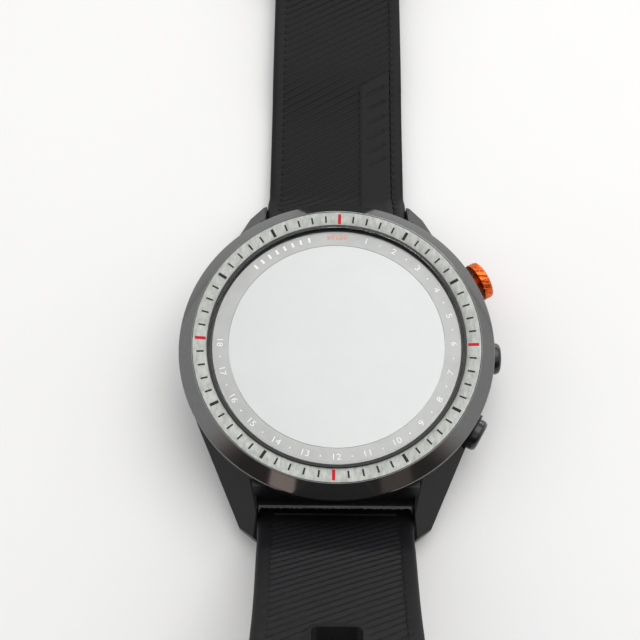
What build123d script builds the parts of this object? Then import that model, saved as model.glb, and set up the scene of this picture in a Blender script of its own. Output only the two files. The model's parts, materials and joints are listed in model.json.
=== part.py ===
"""Golf GPS watch: round case, bezel with a minute scale, three side buttons, quick-release strap.

Frame: origin on the flat crest of the sensor window at the back, +Z out of the dial, +Y to 12
o'clock, +X to 3 o'clock. Millimetres. The upper strap half lies flat, the lower one stands as an arch.
"""
import os
from math import acos, atan2, cos, hypot, radians, sin

from build123d import *

# ---- driving dimensions: case ----
BEZEL_R = 23.5
CASE_R = 23.3
CAVITY_R = 20.6
BACK_OPENING_R = 17.0
COVER_R = 19.8
CASE_BOTTOM = 2.0
FLANGE_TOP = 4.2
CASE_TOP = 11.3
RIM_SEAL = (21.35, 21.85)
RIM_SEAL_BOTTOM = 10.9
BEZEL_TOP = 14.2
LENS_TOP = 14.8
LENS_BOTTOM = 13.2
LENS_R = 18.8
SEAT_R = 19.1
SCALE_R = 21.3
SCALE_FLOOR = 13.4
MASK_R = 18.7
SCREEN_R = 16.0
WINDOW_R = 9.0
SPIGOT_R = 7.5
PORT_Y = -12.6
COVER_BOTTOM = 1.0
PLUG_TOP = 3.2
SCREW_R = 18.3
SCREW_ANGLE = 45
SCREW_HEAD_R = 1.0
SCREW_SHANK_R = 0.6
SCREW_HEAD_H = 0.55
CONTACT_PITCH = 2.1
CONTACT_COUNT = 4
CONTACT_R = 0.45
SEAL_INNER_R = 16.3
FIT = 0.05
SEAM_ANGLE = 192

# ---- lugs and their pins ----
LUG_GAP = 22.92
LUG_CORNER = (14.2, 25.5)
LUG_TIP_Y = 27.6
LUG_BOTTOM = 1.9
BEVEL_START_Z = 8.6
BEVEL_END_Z = 3.4
BEVEL_ANGLE = 52
BRIDGE_OUTLINE = ((19.0, CASE_BOTTOM), (21.4, CASE_BOTTOM), (22.0, 2.8), (22.0, 8.0), (21.2, CASE_TOP),
                  (19.0, CASE_TOP))
PIN_Y = 24.8
PIN_Z = 3.8
PIN_R = 0.9
PIN_HALF = 13.2

# ---- inside the case ----
PLATE_BOTTOM = 8.6
PLATE_TOP = 9.4
BOARD_R = 18.5
BOARD_TOP = 10.2
SHIELD_TOP = 11.0
BATTERY = (25.0, 19.0, 3.8)
BATTERY_BOTTOM = 4.0

# ---- buttons ----
BUTTON_Z = 7.0
STEM_R = 1.2
STEM_END = 18.9
TRAVEL = 0.6
CLIP_GROOVE_R = 0.9
SEAL_GROOVE_R = 0.85
SPRING_R = 1.8
SWITCH_FACE = STEM_END - TRAVEL - FIT
KNURL_COUNT = 18
KNURL_ANGLE = -35
KNURL_WIDTH = 0.3
KNURL_DEPTH = 0.2
PROUD = {"angle": 30, "cap_r": 3.05, "outer": 26.7, "inner": 25.2, "boss_r": 2.8, "boss": 24.5}
FLUSH = {"cap_r": 2.4, "outer": 25.0, "inner": 23.5, "boss_r": 2.95, "boss": 23.7}
BUTTONS = {
    "top": PROUD,
    "middle": dict(FLUSH, angle=0),
    "lower": dict(FLUSH, angle=-30),
}

# ---- strap ----
STRAP_W = 22.3
STRAP_FAR_W = 21.4
STRAP_END_W = 20.4
STRAP_T = 2.8
KNUCKLE_R = 2.6
CLIP_W = 18.0
CLIP_LENGTH = 7.4
CLIP_TOP = 0.5
CLIP_KNUCKLE_R = 1.4
MOUTH_HALF = 0.75
FLEX_GAP = 0.3
UPPER_ROUTE = (PIN_Y, PIN_Z, -27.0, ((3.4, 0), (3.4, 27), (12, 0), (7, 10), (7, -10), (42.5, 0)))
LOWER_ROUTE = (-PIN_Y, PIN_Z, 127.0, ((8.0, 0.0), (22.0, 4.0), (101.6, 138.6)))
UPPER_FLEX = 40.0
LOWER_FLEX = 20.0
SLOT_W = 6.2
SLOT_L = 3.6
SLOT_FIRST = 31.8
SLOT_PITCH = 7.2
SLOT_COUNT = 13

# ---- buckle and keepers, at the end of the upper half ----
BAR_R = 0.8
FRAME_W = 26.4
FRAME_ARM = 1.9
FRAME_T = 3.0
FRAME_LENGTH = 14.5
FRAME_DROP = 1.15
TONGUE_W = 5.0
KEEPER_W = 25.2
KEEPER_WALL = 1.1
KEEPER_LENGTH = 5.0
KEEPER_INSIDE_H = 6.2
KEEPER_FIXED_S = 65.0
KEEPER_SLIDING_S = 55.0

os.makedirs("parts", exist_ok=True)


def save(builder, label):
    """Name a finished piece and write it."""
    builder.part.label = label
    export_step(builder.part, f"parts/{label}.step")


def turned(points, mode=Mode.ADD):
    """Revolve a closed profile of radius and height about the case's axis."""
    a = radians(SEAM_ANGLE)
    seam_plane = Plane(origin=(0, 0, 0), x_dir=(cos(a), sin(a), 0), z_dir=(sin(a), -cos(a), 0))
    with BuildSketch(seam_plane) as profile:
        with BuildLine():
            Polyline(*points, close=True)
        make_face()
    revolve(profile.sketch, axis=Axis.Z, mode=mode)


def radial_plane(angle, r):
    """Plane facing out of the case side at a button's height."""
    a = radians(angle)
    out = (cos(a), sin(a), 0)
    return Plane(origin=(r * cos(a), r * sin(a), BUTTON_Z), x_dir=(-sin(a), cos(a), 0), z_dir=out)


def radial_disc(angle, r_from, r_to, radius, mode=Mode.ADD):
    """Cylinder along a button's axis, between two distances from the case's axis."""
    with BuildSketch(radial_plane(angle, r_from)) as profile:
        Circle(radius)
    extrude(profile.sketch, amount=r_to - r_from, mode=mode)


def block(low, high, mode=Mode.ADD):
    """Box between two corners."""
    middle = [(a + b) / 2 for a, b in zip(low, high)]
    with Locations(Vector(*middle)):
        Box(*[b - a for a, b in zip(low, high)], mode=mode)


def along(route, s, side=0.0):
    """Point on a strap route at distance s, moved sideways to the left by side, and its heading."""
    y, z, heading, stretches = route
    left = s
    for i, (length, turn) in enumerate(stretches):
        step = left if i == len(stretches) - 1 else min(left, length)
        bend = turn * step / length
        chord = step if turn == 0 else 2 * length / radians(turn) * sin(radians(bend) / 2)
        y += chord * cos(radians(heading + bend / 2))
        z += chord * sin(radians(heading + bend / 2))
        heading += bend
        left -= step
        if left <= 0:
            break
    h = radians(heading)
    return (y - side * sin(h), z + side * cos(h)), heading


def route_edge(route, s_from, s_to, side):
    """Edge of a band between two distances along a route, as lines and arcs in order."""
    stops = [s_from]
    total = 0.0
    for length, _ in route[3]:
        total += length
        if min(s_from, s_to) < total < max(s_from, s_to):
            stops.append(total)
    stops = sorted(stops + [s_to], reverse=s_from > s_to)
    for a, b in zip(stops, stops[1:]):
        first, heading_a = along(route, a, side)
        last, heading_b = along(route, b, side)
        if abs(heading_a - heading_b) < 0.01:
            Line(first, last)
        else:
            ThreePointArc(first, along(route, (a + b) / 2, side)[0], last)


def band(route, s_from, s_to, width, low=-STRAP_T / 2, high=STRAP_T / 2, mode=Mode.ADD):
    """Band of constant thickness along a route, as wide as width."""
    with BuildSketch(Plane.YZ) as profile:
        with BuildLine():
            route_edge(route, s_from, s_to, high)
            Line(along(route, s_to, high)[0], along(route, s_to, low)[0])
            route_edge(route, s_to, s_from, low)
            Line(along(route, s_from, low)[0], along(route, s_from, high)[0])
        make_face()
    extrude(profile.sketch, amount=width / 2, both=True, mode=mode)


def cross_rod(point, radius, width, mode=Mode.ADD):
    """Round bar across the strap at a point of its side view."""
    with BuildSketch(Plane.YZ) as profile:
        with Locations(point):
            Circle(radius)
    extrude(profile.sketch, amount=width / 2, both=True, mode=mode)


# ---- back of the watch ----
with BuildPart() as sensor_window:
    turned([(0, 0), (6.2, 0), (7.8, 0.25), (8.6, 0.6), (WINDOW_R, COVER_BOTTOM), (SPIGOT_R, COVER_BOTTOM),
            (SPIGOT_R, 2.2), (0, 2.2)])
save(sensor_window, "sensor_window")

with BuildPart() as rear_cover:
    turned([(SPIGOT_R + 0.1, COVER_BOTTOM), (18.9, COVER_BOTTOM), (COVER_R, 1.7), (COVER_R, CASE_BOTTOM),
            (BACK_OPENING_R - 0.1, CASE_BOTTOM), (BACK_OPENING_R - 0.1, 2.2), (SEAL_INNER_R, 2.2),
            (SEAL_INNER_R, 2.8), (BACK_OPENING_R - 0.1, 2.8), (BACK_OPENING_R - 0.1, PLUG_TOP),
            (SPIGOT_R + 0.1, PLUG_TOP)])
    with BuildSketch(Plane.XY.offset(COVER_BOTTOM)):
        with Locations((0, PORT_Y)):
            RectangleRounded(9.4, 4.4, 1.6)
    extrude(amount=1.4, mode=Mode.SUBTRACT)
    with BuildSketch(Plane.XY.offset(COVER_BOTTOM)):
        with Locations((0, PORT_Y)):
            with GridLocations(CONTACT_PITCH, 1, CONTACT_COUNT, 1):
                Circle(CONTACT_R + FIT)
    extrude(amount=3, mode=Mode.SUBTRACT)
    with BuildSketch(Plane.XY.offset(COVER_BOTTOM)):
        with PolarLocations(SCREW_R, 4, start_angle=SCREW_ANGLE):
            Circle(SCREW_HEAD_R + FIT)
    extrude(amount=0.6, mode=Mode.SUBTRACT)
    with BuildSketch(Plane.XY.offset(COVER_BOTTOM)):
        with PolarLocations(SCREW_R, 4, start_angle=SCREW_ANGLE):
            Circle(SCREW_SHANK_R + FIT)
    extrude(amount=1.5, mode=Mode.SUBTRACT)
save(rear_cover, "rear_cover")

with BuildPart() as rear_cover_gasket:
    turned([(SEAL_INNER_R, 2.25), (BACK_OPENING_R, 2.25), (BACK_OPENING_R, 2.75), (SEAL_INNER_R, 2.75)])
save(rear_cover_gasket, "rear_cover_gasket")

with BuildPart() as rear_cover_screws:
    with BuildSketch(Plane.XY.offset(COVER_BOTTOM + FIT)):
        with PolarLocations(SCREW_R, 4, start_angle=SCREW_ANGLE):
            Circle(SCREW_HEAD_R)
    extrude(amount=SCREW_HEAD_H)
    with BuildSketch(Plane.XY.offset(COVER_BOTTOM + 0.6)):
        with PolarLocations(SCREW_R, 4, start_angle=SCREW_ANGLE):
            Circle(SCREW_SHANK_R)
    extrude(amount=2.4)
    with BuildSketch(Plane.XY.offset(COVER_BOTTOM + FIT)):
        with PolarLocations(SCREW_R, 4, start_angle=SCREW_ANGLE):
            RegularPolygon(0.5, 6)
    extrude(amount=0.4, mode=Mode.SUBTRACT)
save(rear_cover_screws, "rear_cover_screws")

with BuildPart() as sensor_board:
    with BuildSketch(Plane.XY.offset(PLUG_TOP)):
        Circle(8.8)
    extrude(amount=0.6)
save(sensor_board, "sensor_board")

with BuildPart() as sensor_leds:
    with BuildSketch(Plane.XY.offset(PLUG_TOP - 0.7)):
        Rectangle(2.4, 2.4)
        with PolarLocations(4.6, 4):
            Rectangle(1.8, 1.8)
    extrude(amount=0.7)
save(sensor_leds, "sensor_leds")

with BuildPart() as charging_contacts:
    with BuildSketch(Plane.XY.offset(COVER_BOTTOM + 0.5)):
        with Locations((0, PORT_Y)):
            with GridLocations(CONTACT_PITCH, 1, CONTACT_COUNT, 1):
                Circle(CONTACT_R)
    extrude(amount=2.2)
save(charging_contacts, "charging_contacts")

# ---- case body with its lugs and button bosses ----
with BuildPart() as case_body:
    lug_far = hypot(*LUG_CORNER)
    tangent = atan2(LUG_CORNER[1], LUG_CORNER[0]) - acos(CASE_R / lug_far)
    tangent_point = (CASE_R * cos(tangent), CASE_R * sin(tangent))
    with BuildSketch(Plane.XY.offset(LUG_BOTTOM)):
        with BuildLine():
            Polyline(tangent_point, LUG_CORNER, (LUG_GAP / 2, LUG_TIP_Y), (LUG_GAP / 2, 17.0), (15.0, 6.0),
                     close=True)
        make_face()
        mirror(about=Plane.YZ)
        mirror(about=Plane.XZ)
    extrude(amount=CASE_TOP - LUG_BOTTOM)
    with BuildSketch(Plane.YZ) as lug_slope:
        with BuildLine():
            Polyline((16.0, CASE_TOP + 1), (17.6, CASE_TOP - 0.3), (24.2, 7.2), (28.4, 3.2), (30, 3.2),
                     (30, CASE_TOP + 1), close=True)
        make_face()
        mirror(about=Plane.YZ)
    extrude(amount=30, both=True, mode=Mode.SUBTRACT)
    for sx in (-1, 1):
        for sy in (-1, 1):
            start = Vector(sx * tangent_point[0], sy * tangent_point[1], BEVEL_START_Z)
            end = Vector(sx * LUG_CORNER[0], sy * LUG_CORNER[1], BEVEL_END_Z)
            run = (end - start).normalized()
            inward = Vector(-sx * cos(tangent), -sy * sin(tangent), 0)
            slope = inward * cos(radians(BEVEL_ANGLE)) + Vector(0, 0, sin(radians(BEVEL_ANGLE)))
            normal = run.cross(slope)
            up = normal if normal.Z > 0 else -normal
            with BuildSketch(Plane(origin=(start + end) * 0.5, x_dir=run, z_dir=up)):
                Rectangle(60, 60)
            extrude(amount=25, mode=Mode.SUBTRACT)
    turned([(BACK_OPENING_R, CASE_BOTTOM), (20.2, CASE_BOTTOM), (21.7, 3.2), (22.5, 5.6), (22.9, 8.0),
            (CASE_R, 9.6), (CASE_R, CASE_TOP), (CAVITY_R, CASE_TOP), (CAVITY_R, FLANGE_TOP),
            (BACK_OPENING_R, FLANGE_TOP)])
    with BuildSketch(Plane.YZ):
        with BuildLine():
            Polyline(*BRIDGE_OUTLINE, close=True)
        make_face()
        mirror(about=Plane.YZ)
    extrude(amount=LUG_GAP / 2 + 0.5, both=True)
    for spec in BUTTONS.values():
        radial_disc(spec["angle"], 21.0, spec["boss"], spec["boss_r"])
    turned([(0, FLANGE_TOP), (CAVITY_R, FLANGE_TOP), (CAVITY_R, CASE_TOP + 1), (0, CASE_TOP + 1)],
           Mode.SUBTRACT)
    turned([(0, 0), (20.1, 0), (20.1, CASE_BOTTOM), (BACK_OPENING_R, CASE_BOTTOM),
            (BACK_OPENING_R, FLANGE_TOP + 1), (0, FLANGE_TOP + 1)], Mode.SUBTRACT)
    turned([(RIM_SEAL[0] - FIT, RIM_SEAL_BOTTOM), (RIM_SEAL[1] + FIT, RIM_SEAL_BOTTOM),
            (RIM_SEAL[1] + FIT, CASE_TOP + 1), (RIM_SEAL[0] - FIT, CASE_TOP + 1)], Mode.SUBTRACT)
    for name, spec in BUTTONS.items():
        radial_disc(spec["angle"], 19.0, 26.0, STEM_R + FIT, Mode.SUBTRACT)
        if name == "top":
            radial_disc(spec["angle"], 23.3, 26.0, 1.95, Mode.SUBTRACT)
        else:
            radial_disc(spec["angle"], 22.3, 26.0, spec["cap_r"] + 0.1, Mode.SUBTRACT)
    for side in (-1, 1):
        cross_rod((side * PIN_Y, PIN_Z), PIN_R + 0.02, 2 * PIN_HALF + 0.1, Mode.SUBTRACT)
    with BuildSketch(Plane.XY.offset(CASE_BOTTOM)):
        with PolarLocations(SCREW_R, 4, start_angle=SCREW_ANGLE):
            Circle(SCREW_SHANK_R + FIT)
    extrude(amount=2.1, mode=Mode.SUBTRACT)
save(case_body, "case_body")

for label, side in (("upper", 1), ("lower", -1)):
    with BuildPart() as lug_pin:
        cross_rod((side * PIN_Y, PIN_Z), PIN_R, 2 * PIN_HALF)
    save(lug_pin, f"lug_pin_{label}")

# ---- bezel, lens and display ----
with BuildPart() as bezel:
    turned([(17.2, 11.5), (17.2, 12.9), (SEAT_R, 12.9), (SEAT_R, SCALE_FLOOR), (SCALE_R, SCALE_FLOOR),
            (SCALE_R, BEZEL_TOP - 0.05), (SCALE_R + 0.15, BEZEL_TOP), (SCALE_R + 0.4, BEZEL_TOP - 0.05),
            (BEZEL_R - 0.2, 12.72), (BEZEL_R, 12.5), (BEZEL_R, 11.55), (BEZEL_R - 0.25, CASE_TOP),
            (20.5, CASE_TOP), (20.5, 11.0), (19.6, 11.0), (19.6, 11.5)])
save(bezel, "bezel")

with BuildPart() as bezel_gasket:
    turned([(RIM_SEAL[0], RIM_SEAL_BOTTOM), (RIM_SEAL[1], RIM_SEAL_BOTTOM), (RIM_SEAL[1], CASE_TOP),
            (RIM_SEAL[0], CASE_TOP)])
save(bezel_gasket, "bezel_gasket")

with BuildPart() as scale_ring:
    turned([(SEAT_R + 0.06, SCALE_FLOOR), (SCALE_R - 0.03, SCALE_FLOOR), (SCALE_R - 0.03, BEZEL_TOP - 0.02),
            (SEAT_R + 0.06, BEZEL_TOP - 0.3)])
save(scale_ring, "scale_ring")

with BuildPart() as lens:
    turned([(0, LENS_BOTTOM), (LENS_R, LENS_BOTTOM), (LENS_R, LENS_TOP - 0.35), (LENS_R - 0.55, LENS_TOP),
            (0, LENS_TOP)])
save(lens, "lens")

with BuildPart() as lens_gasket:
    turned([(LENS_R, LENS_BOTTOM), (SEAT_R, LENS_BOTTOM), (SEAT_R, 14.2), (LENS_R, 14.2)])
save(lens_gasket, "lens_gasket")

with BuildPart() as hole_number_ring:
    turned([(SCREEN_R + 0.05, 12.9), (MASK_R, 12.9), (MASK_R, LENS_BOTTOM), (SCREEN_R + 0.05, LENS_BOTTOM)])
save(hole_number_ring, "hole_number_ring")

with BuildPart() as display_panel:
    turned([(0, 11.3), (16.6, 11.3), (16.6, 12.9), (SCREEN_R, 12.9), (SCREEN_R, LENS_BOTTOM),
            (0, LENS_BOTTOM)])
save(display_panel, "display_panel")

with BuildPart() as display_carrier:
    with BuildSketch(Plane.XY.offset(SHIELD_TOP)):
        Circle(16.9)
        with Locations((0, -11)):
            RectangleRounded(12, 4, 1.2, mode=Mode.SUBTRACT)
    extrude(amount=0.3)
save(display_carrier, "display_carrier")

# ---- electronics on the midframe ----
with BuildPart() as midframe:
    turned([(0, PLATE_BOTTOM), (20.3, PLATE_BOTTOM), (20.3, PLATE_TOP), (0, PLATE_TOP)])
    turned([(19.4, FLANGE_TOP), (20.3, FLANGE_TOP), (20.3, PLATE_BOTTOM), (19.4, PLATE_BOTTOM)])
    block((11.0, -21, FLANGE_TOP - 1), (21, 21, PLATE_BOTTOM), Mode.SUBTRACT)
    with BuildSketch(Plane.XY.offset(PLATE_BOTTOM)):
        with Locations((-8, 0)):
            RectangleRounded(8, 16, 2)
    extrude(amount=PLATE_TOP - PLATE_BOTTOM, mode=Mode.SUBTRACT)
save(midframe, "midframe")

with BuildPart() as main_board:
    with BuildSketch(Plane.XY.offset(PLATE_TOP)):
        Circle(BOARD_R)
        with PolarLocations(BOARD_R, 3, start_angle=90):
            Circle(1.4, mode=Mode.SUBTRACT)
    extrude(amount=BOARD_TOP - PLATE_TOP)
save(main_board, "main_board")

with BuildPart() as board_shields:
    with BuildSketch(Plane.XY.offset(BOARD_TOP)):
        with Locations((-6.5, 4.5)):
            RectangleRounded(11, 13, 0.8)
        with Locations((7.0, 5.5)):
            RectangleRounded(10, 9, 0.8)
        with Locations((6.0, -6.5)):
            RectangleRounded(12, 8, 0.8)
    extrude(amount=SHIELD_TOP - BOARD_TOP)
save(board_shields, "board_shields")

with BuildPart() as antenna_ring:
    turned([(18.9, PLATE_TOP), (20.3, PLATE_TOP), (20.3, 10.8), (18.9, 10.8)])
    block((-2, -21, PLATE_TOP - 1), (2, -18, 12), Mode.SUBTRACT)
save(antenna_ring, "antenna_ring")

with BuildPart() as battery:
    with BuildSketch(Plane.XY.offset(BATTERY_BOTTOM)):
        RectangleRounded(BATTERY[0], BATTERY[1], 2.4)
    extrude(amount=BATTERY[2])
    fillet(battery.edges().group_by(Axis.Z)[-1], 0.5)
save(battery, "battery")

with BuildPart() as vibration_motor:
    with BuildSketch(Plane.XY.offset(4.4)):
        with Locations((0, 15.0)):
            Circle(4.0)
    extrude(amount=2.8)
    chamfer(vibration_motor.edges().group_by(Axis.Z)[-1], 0.3)
save(vibration_motor, "vibration_motor")

with BuildPart() as key_bracket:
    turned([(15.9, 5.0), (16.4, 5.0), (16.4, PLATE_BOTTOM), (15.9, PLATE_BOTTOM)])
    block((-20, -20, 0), (11.6, 20, 12), Mode.SUBTRACT)
save(key_bracket, "key_bracket")

# ---- buttons: cap with stem, seal, disc spring, retaining clip and switch ----
for name, spec in BUTTONS.items():
    angle = spec["angle"]
    with BuildPart() as cap:
        radial_disc(angle, spec["inner"], spec["outer"], spec["cap_r"])
        rims = cap.edges().filter_by(GeomType.CIRCLE)
        outer_edge = rims.sort_by(lambda e: hypot(e.center().X, e.center().Y))[-1]
        if name == "top":
            chamfer(outer_edge, 0.3)
        else:
            fillet(outer_edge, 0.7)
        if name == "top":
            for i in range(KNURL_COUNT):
                groove_plane = radial_plane(angle, (spec["inner"] + spec["outer"]) / 2)
                turn = radians((i + 0.35) * 360 / KNURL_COUNT)
                out = groove_plane.x_dir * cos(turn) + groove_plane.y_dir * sin(turn)
                at = groove_plane.origin + out * spec["cap_r"]
                groove = Plane(origin=at, x_dir=groove_plane.z_dir, z_dir=out).rotated((0, 0, KNURL_ANGLE))
                with BuildSketch(groove):
                    Rectangle(5, KNURL_WIDTH)
                extrude(amount=KNURL_DEPTH, both=True, mode=Mode.SUBTRACT)
        radial_disc(angle, STEM_END, spec["inner"], STEM_R)
        with BuildSketch(radial_plane(angle, 21.2)):
            Circle(STEM_R + 0.1)
            Circle(SEAL_GROOVE_R, mode=Mode.SUBTRACT)
        extrude(amount=0.5, mode=Mode.SUBTRACT)
        with BuildSketch(radial_plane(angle, 19.85)):
            Circle(STEM_R + 0.1)
            Circle(CLIP_GROOVE_R, mode=Mode.SUBTRACT)
        extrude(amount=0.45, mode=Mode.SUBTRACT)
    save(cap, f"button_{name}")

    with BuildPart() as seal:
        with BuildSketch(radial_plane(angle, 21.25)):
            Circle(1.22)
            Circle(SEAL_GROOVE_R + 0.01, mode=Mode.SUBTRACT)
        extrude(amount=0.4)
    save(seal, f"button_{name}_seal")

    spring_floor = 23.3 if name == "top" else 22.3
    with BuildPart() as spring:
        with BuildSketch(radial_plane(angle, spring_floor)):
            Circle(SPRING_R)
            Circle(1.35, mode=Mode.SUBTRACT)
        extrude(amount=spec["inner"] - TRAVEL - FIT - spring_floor)
    save(spring, f"button_{name}_spring")

    with BuildPart() as clip:
        with BuildSketch(radial_plane(angle, 19.9)):
            Circle(1.5)
            Circle(CLIP_GROOVE_R + 0.02, mode=Mode.SUBTRACT)
            with Locations((0, -1.4)):
                Rectangle(1.3, 1.6, mode=Mode.SUBTRACT)
        extrude(amount=0.35)
    save(clip, f"button_{name}_clip")

    with BuildPart() as switch:
        with BuildSketch(radial_plane(angle, 16.75)):
            RectangleRounded(3.6, 2.4, 0.3)
        extrude(amount=1.0)
        radial_disc(angle, 17.7, SWITCH_FACE, 0.8)
    save(switch, f"button_{name}_switch")


# ---- strap halves: each end clip carries a sliding latch that closes the hook round its pin ----
def strap_body(route, outward, s_from, s_to, width):
    """Plain band with a knuckle at the pin end when it starts there."""
    band(route, s_from, s_to, width)
    if s_from == 0:
        cross_rod(along(route, 0)[0], KNUCKLE_R, width)
        pocket_low, pocket_high = sorted((-3 * outward, (CLIP_TOP + FIT) * outward))
        band(route, -3, CLIP_LENGTH + 0.1, CLIP_W + 0.1, pocket_low, pocket_high, Mode.SUBTRACT)
        cross_rod(along(route, 0)[0], CLIP_KNUCKLE_R + 0.05, CLIP_W + 0.1, Mode.SUBTRACT)
        cross_rod(along(route, 0)[0], PIN_R + 0.09, 40, Mode.SUBTRACT)


for label, route, outward in (("upper", UPPER_ROUTE, 1), ("lower", LOWER_ROUTE, -1)):
    pin_centre = along(route, 0)[0]
    low, high = sorted((-STRAP_T / 2 * outward, CLIP_TOP * outward))
    with BuildPart() as end_clip:
        band(route, 0, CLIP_LENGTH, CLIP_W, low, high)
        cross_rod(pin_centre, CLIP_KNUCKLE_R, CLIP_W)
        cross_rod(pin_centre, PIN_R + 0.05, 40, Mode.SUBTRACT)
        mouth_low, mouth_high = sorted((-4 * outward, 0))
        band(route, -MOUTH_HALF, MOUTH_HALF, CLIP_W + 2, mouth_low, mouth_high, Mode.SUBTRACT)
        channel_low, channel_high = sorted((-4 * outward, -0.95 * outward))
        band(route, -3, 6.6, 7.2, channel_low, channel_high, Mode.SUBTRACT)
        band(route, 2.0, 5.6, 2.4, *sorted((-0.96 * outward, -0.25 * outward)), Mode.SUBTRACT)
    save(end_clip, f"strap_clip_{label}")

    latch_low, latch_high = sorted((-1.4 * outward, -1.0 * outward))
    with BuildPart() as latch:
        band(route, -0.95, 4.6, 7.0, latch_low, latch_high)
        band(route, 2.1, 2.9, 2.2, *sorted((-1.0 * outward, -0.3 * outward)))
        band(route, 3.4, 4.6, 5.0, *sorted((-1.7 * outward, -1.39 * outward)))
    save(latch, f"strap_latch_{label}")

    with BuildPart() as latch_spring:
        band(route, 4.8, 5.5, 2.0, *sorted((-0.9 * outward, -0.3 * outward)))
    save(latch_spring, f"latch_spring_{label}")


def flex_joint_cut(route, s, width, keep_inner):
    """Round a segment's end, or hollow the next one's start, about the line where the strap bends."""
    centre = along(route, s)[0]
    if keep_inner:
        cross_rod(centre, STRAP_T / 2, width)
    else:
        cross_rod(centre, STRAP_T / 2 + FLEX_GAP, width + 2, Mode.SUBTRACT)


for label, route, outward, flex, width in (
    ("upper", UPPER_ROUTE, 1, UPPER_FLEX, STRAP_W),
    ("lower", LOWER_ROUTE, -1, LOWER_FLEX, STRAP_W),
):
    with BuildPart() as inner_half:
        strap_body(route, outward, 0, flex, width)
        flex_joint_cut(route, flex, width, True)
    save(inner_half, f"strap_{label}_near")

bar_s = sum(length for length, _ in UPPER_ROUTE[3])
bar_point = along(UPPER_ROUTE, bar_s)[0]
with BuildPart() as upper_far:
    band(UPPER_ROUTE, UPPER_FLEX, bar_s, STRAP_W)
    flex_joint_cut(UPPER_ROUTE, UPPER_FLEX, STRAP_W, False)
    block((STRAP_END_W / 2, bar_point[0] - 8, -1), (20, bar_point[0] + 5, 8), Mode.SUBTRACT)
    block((-20, bar_point[0] - 8, -1), (-STRAP_END_W / 2, bar_point[0] + 5, 8), Mode.SUBTRACT)
    cross_rod(bar_point, STRAP_T / 2, STRAP_END_W)
    cross_rod(bar_point, BAR_R + 0.06, 40, Mode.SUBTRACT)
    block((-TONGUE_W / 2 - 0.4, bar_point[0] - 3.2, -1), (TONGUE_W / 2 + 0.4, bar_point[0] + 5, 8),
          Mode.SUBTRACT)
save(upper_far, "strap_upper_far")

lower_end = sum(length for length, _ in LOWER_ROUTE[3])
with BuildPart() as lower_far:
    band(LOWER_ROUTE, LOWER_FLEX, lower_end, STRAP_FAR_W)
    flex_joint_cut(LOWER_ROUTE, LOWER_FLEX, STRAP_FAR_W, False)
    for i in range(SLOT_COUNT):
        (slot_y, slot_z), slot_heading = along(LOWER_ROUTE, SLOT_FIRST + i * SLOT_PITCH)
        h = radians(slot_heading)
        with BuildSketch(Plane(origin=(0, slot_y, slot_z), x_dir=(1, 0, 0), z_dir=(0, -sin(h), cos(h)))):
            RectangleRounded(SLOT_W, SLOT_L, 0.9)
        extrude(amount=4, both=True, mode=Mode.SUBTRACT)
save(lower_far, "strap_lower_far")

# ---- buckle ----
bar_y, bar_z = bar_point
with BuildPart() as buckle_bar:
    cross_rod(bar_point, BAR_R, FRAME_W - 0.8)
save(buckle_bar, "buckle_bar")

with BuildPart() as buckle_frame:
    with BuildSketch(Plane.YZ):
        with BuildLine():
            Polyline((bar_y - 1.6, bar_z - FRAME_T / 2), (bar_y - 1.6, bar_z + FRAME_T / 2),
                     (bar_y + 1.6, bar_z + FRAME_T / 2),
                     (bar_y + FRAME_LENGTH - 1.6, bar_z + FRAME_T / 2 - FRAME_DROP),
                     (bar_y + FRAME_LENGTH - 1.6, bar_z - FRAME_T / 2 - FRAME_DROP),
                     (bar_y + 1.6, bar_z - FRAME_T / 2), close=True)
        make_face()
    extrude(amount=FRAME_W / 2, both=True)
    fillet(buckle_frame.edges().filter_by(Axis.Z).sort_by(Axis.Y)[-2:], 3.0)
    inner_w = FRAME_W - 2 * FRAME_ARM
    block((-inner_w / 2, bar_y - 5, -2), (inner_w / 2, bar_y + FRAME_LENGTH - 4.2, 8), Mode.SUBTRACT)
    block((-TONGUE_W / 2 - 0.2, bar_y + FRAME_LENGTH - 6, bar_z + FRAME_T / 2 - FRAME_DROP - 0.5),
          (TONGUE_W / 2 + 0.2, bar_y + FRAME_LENGTH, 8), Mode.SUBTRACT)
    cross_rod(bar_point, BAR_R + 0.01, FRAME_W - 0.7, Mode.SUBTRACT)
save(buckle_frame, "buckle_frame")

with BuildPart() as buckle_tongue:
    with BuildSketch(Plane.YZ):
        with BuildLine():
            Polyline((bar_y, bar_z - 0.4), (bar_y, bar_z + 1.35), (bar_y + 1.5, bar_z + 1.35),
                     (bar_y + FRAME_LENGTH - 2.0, bar_z + FRAME_T / 2 - FRAME_DROP + 0.75),
                     (bar_y + FRAME_LENGTH - 2.0, bar_z + FRAME_T / 2 - FRAME_DROP - 0.4),
                     (bar_y + 1.5, bar_z - 0.1), close=True)
        make_face()
    extrude(amount=TONGUE_W / 2, both=True)
    cross_rod(bar_point, 1.35, TONGUE_W)
    cross_rod(bar_point, BAR_R + 0.06, 40, Mode.SUBTRACT)
save(buckle_tongue, "buckle_tongue")

for label, s in (("fixed", KEEPER_FIXED_S), ("sliding", KEEPER_SLIDING_S)):
    (keeper_y, keeper_z), _ = along(UPPER_ROUTE, s)
    floor_z = keeper_z - STRAP_T / 2 - 0.12
    with BuildPart() as keeper:
        with BuildSketch(Plane.XZ.offset(-keeper_y)):
            with Locations((0, floor_z + KEEPER_INSIDE_H / 2)):
                RectangleRounded(KEEPER_W, KEEPER_INSIDE_H + 2 * KEEPER_WALL, 1.5)
                Rectangle(KEEPER_W - 2 * KEEPER_WALL, KEEPER_INSIDE_H, mode=Mode.SUBTRACT)
        extrude(amount=KEEPER_LENGTH / 2, both=True)
    save(keeper, f"keeper_{label}")
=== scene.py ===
"""Looks of the golf GPS watch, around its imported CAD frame. Lengths are in metres; MM is one millimetre."""
import json
import math

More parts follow.
